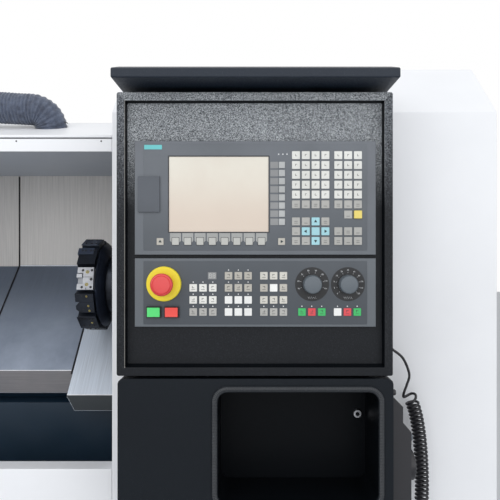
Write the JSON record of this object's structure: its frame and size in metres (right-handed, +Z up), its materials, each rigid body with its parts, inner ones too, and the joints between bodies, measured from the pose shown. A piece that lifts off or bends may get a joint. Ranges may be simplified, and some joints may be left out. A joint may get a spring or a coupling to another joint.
{
  "type": "cnc turning lathe",
  "caption": "Slant-bed turning lathe with sliding door, turret, power chuck, black operator console, hand-held pulse unit on a curly lead and mist extraction.",
  "frame": {"origin": "the middle of the machine's footprint, at the height of the floor under the levelling feet", "axes": "+X runs along the spindle from the headstock to the console side, +Y points away from the operator, +Z is up"},
  "size_m": [2.3, 1.64, 1.93],
  "materials": {
    "white_paint": "smooth white enamel",
    "bed_paint": "dark teal paint on casting",
    "base_paint": "dark grey enamel",
    "stainless": "brushed sheet",
    "dark_steel": "blackened and oiled",
    "bright_steel": "ground",
    "hammertone": "black textured paint",
    "plate_grey": "satin grey foil",
    "screen": "screen with an anti-glare face",
    "red_plastic": "gloss",
    "green_plastic": "gloss",
    "yellow_plastic": "satin",
    "knob_grey": "satin",
    "black_plastic": "satin",
    "black_rubber": "satin",
    "duct_fabric": "coated cloth over a wire coil",
    "window_glass": "clear",
    "motor_black": "satin black"
  },
  "bodies": {
    "frame": {"machine_base": "base_paint", "slant_bed": "bed_paint", "headstock": "bed_paint", "front_panel": "white_paint", "left_cover": "white_paint", "right_cover": "white_paint", "roof_cover": "white_paint", "header_panel": "white_paint", "rear_cover": "white_paint", "mist_collector": "white_paint", "back_wall": "stainless", "left_way_cover": "stainless", "right_way_cover": "stainless", "lower_rail": "bright_steel", "upper_rail": "bright_steel", "z_motor": "motor_black", "spindle_motor": "motor_black", "console_housing": "hammertone", "console_visor": "hammertone", "lower_console": "hammertone", "upper_plate": "plate_grey", "lower_plate": "plate_grey", "screen_glass": "screen", "estop_collar": "yellow_plastic", "handset_body": "black_plastic", "cord_lead": "black_rubber", "cord_coil": "black_rubber", "fume_duct": "duct_fabric"},
    "door": {"door_panel": "white_paint", "door_window": "window_glass", "door_handle": "black_plastic"},
    "carriage": {"carriage": "dark_steel", "carriage_cover": "stainless", "x_motor": "motor_black"},
    "left_telescopic_cover": {"left_telescopic_cover": "stainless"},
    "right_telescopic_cover": {"right_telescopic_cover": "stainless"},
    "z_screw": {"z_screw": "bright_steel"},
    "cross_slide": {"cross_slide": "dark_steel", "turret_housing": "dark_steel"},
    "x_screw": {"x_screw": "bright_steel"},
    "turret": {"turret_disc": "dark_steel", "boring_holder": "bright_steel", "turning_holder": "dark_steel", "drill_holder": "dark_steel"},
    "spindle": {"spindle": "bright_steel", "chuck_body": "bright_steel"},
    "jaw_1": {"chuck_jaw_1": "bright_steel"},
    "jaw_2": {"chuck_jaw_2": "bright_steel"},
    "jaw_3": {"chuck_jaw_3": "bright_steel"},
    "estop_button": {"estop_button": "red_plastic"},
    "start_button": {"start_button": "green_plastic"},
    "stop_button": {"stop_button": "red_plastic"},
    "reset_key": {"reset_key": "yellow_plastic"},
    "feed_knob": {"feed_knob": "knob_grey"},
    "speed_knob": {"speed_knob": "knob_grey"},
    "port_cover": {"port_cover": "knob_grey"},
    "handset_wheel": {"handset_wheel": "black_plastic"},
    "handset_selector": {"handset_selector": "black_plastic"},
    "cabinet_door": {"cabinet_door": "white_paint"},
    "chip_tray": {"chip_tray": "base_paint"}
  },
  "joints": [
    {"name": "door_slide", "type": "slide", "parent": "frame", "child": "door", "axis": [1, 0, 0], "range_m": [0, 0.679]},
    {"name": "carriage_travel", "type": "slide", "parent": "frame", "child": "carriage", "axis": [1, 0, 0], "range_m": [-0.3, 0.02]},
    {"name": "left_cover_travel", "type": "slide", "parent": "frame", "child": "left_telescopic_cover", "axis": [1, 0, 0], "range_m": [-0.24, 0.016]},
    {"name": "right_cover_travel", "type": "slide", "parent": "frame", "child": "right_telescopic_cover", "axis": [1, 0, 0], "range_m": [-0.24, 0.016]},
    {"name": "z_screw_turn", "type": "hinge", "parent": "frame", "child": "z_screw", "pos_m": [0.3, -0.21635, 1.07269], "axis": [1, 0, 0], "range_deg": [-5400, 360]},
    {"name": "cross_travel", "type": "slide", "parent": "carriage", "child": "cross_slide", "axis": [0, -0.7071, -0.7071], "range_m": [-0.02, 0.08]},
    {"name": "x_screw_turn", "type": "hinge", "parent": "carriage", "child": "x_screw", "pos_m": [0.455, -0.35565, 0.97865], "axis": [0, -0.7071, -0.7071], "range_deg": [-360, 1440]},
    {"name": "turret_index", "type": "hinge", "parent": "cross_slide", "child": "turret", "pos_m": [0.29, -0.39002, 1.21298], "axis": [1, 0, 0], "continuous": true},
    {"name": "spindle_turn", "type": "hinge", "parent": "frame", "child": "spindle", "pos_m": [-0.3, -0.49, 1.113], "axis": [1, 0, 0], "continuous": true},
    {"name": "jaw_1_travel", "type": "slide", "parent": "spindle", "child": "jaw_1", "axis": [0, 0, 1], "range_m": [-0.005, 0.006]},
    {"name": "jaw_2_travel", "type": "slide", "parent": "spindle", "child": "jaw_2", "axis": [0, -0.866, -0.5], "range_m": [-0.005, 0.006]},
    {"name": "jaw_3_travel", "type": "slide", "parent": "spindle", "child": "jaw_3", "axis": [0, 0.866, -0.5], "range_m": [-0.005, 0.006]},
    {"name": "estop_push", "type": "slide", "parent": "frame", "child": "estop_button", "axis": [0, 1, 0], "range_m": [0, 0.005], "stiffness_N_per_m": 300},
    {"name": "start_push", "type": "slide", "parent": "frame", "child": "start_button", "axis": [0, 1, 0], "range_m": [0, 0.004], "stiffness_N_per_m": 300},
    {"name": "stop_push", "type": "slide", "parent": "frame", "child": "stop_button", "axis": [0, 1, 0], "range_m": [0, 0.004], "stiffness_N_per_m": 300},
    {"name": "reset_push", "type": "slide", "parent": "frame", "child": "reset_key", "axis": [0, 1, 0], "range_m": [0, 0.0015], "stiffness_N_per_m": 300},
    {"name": "feed_turn", "type": "hinge", "parent": "frame", "child": "feed_knob", "pos_m": [0.764, -0.77, 1.2388], "axis": [0, -1, 0], "range_deg": [-150, 150]},
    {"name": "speed_turn", "type": "hinge", "parent": "frame", "child": "speed_knob", "pos_m": [0.8264, -0.77, 1.2388], "axis": [0, -1, 0], "range_deg": [-150, 150]},
    {"name": "port_cover_hinge", "type": "hinge", "parent": "frame", "child": "port_cover", "pos_m": [0.4613, -0.7665, 1.39525], "axis": [0, 0, -1], "range_deg": [0, 100]},
    {"name": "handset_wheel_turn", "type": "hinge", "parent": "frame", "child": "handset_wheel", "pos_m": [0.95, -0.71, 0.905], "axis": [1, 0, 0], "continuous": true},
    {"name": "handset_selector_turn", "type": "hinge", "parent": "frame", "child": "handset_selector", "pos_m": [0.95, -0.71, 0.955], "axis": [1, 0, 0], "range_deg": [-60, 60]},
    {"name": "cabinet_door_hinge", "type": "hinge", "parent": "frame", "child": "cabinet_door", "pos_m": [0.92, 0.8003, 0.94], "axis": [0, 0, -1], "range_deg": [0, 90]},
    {"name": "chip_tray_slide", "type": "slide", "parent": "frame", "child": "chip_tray", "axis": [0, -1, 0], "range_m": [0, 0.4]}
  ],
  "couplings": [
    {"joint": "left_cover_travel", "follows": "carriage_travel", "ratio": 0.8},
    {"joint": "right_cover_travel", "follows": "carriage_travel", "ratio": 0.8},
    {"joint": "z_screw_turn", "follows": "carriage_travel", "rad_per_m": 314.16},
    {"joint": "x_screw_turn", "follows": "cross_travel", "rad_per_m": 314.16},
    {"joint": "jaw_2_travel", "follows": "jaw_1_travel", "ratio": 1},
    {"joint": "jaw_3_travel", "follows": "jaw_1_travel", "ratio": 1}
  ]
}
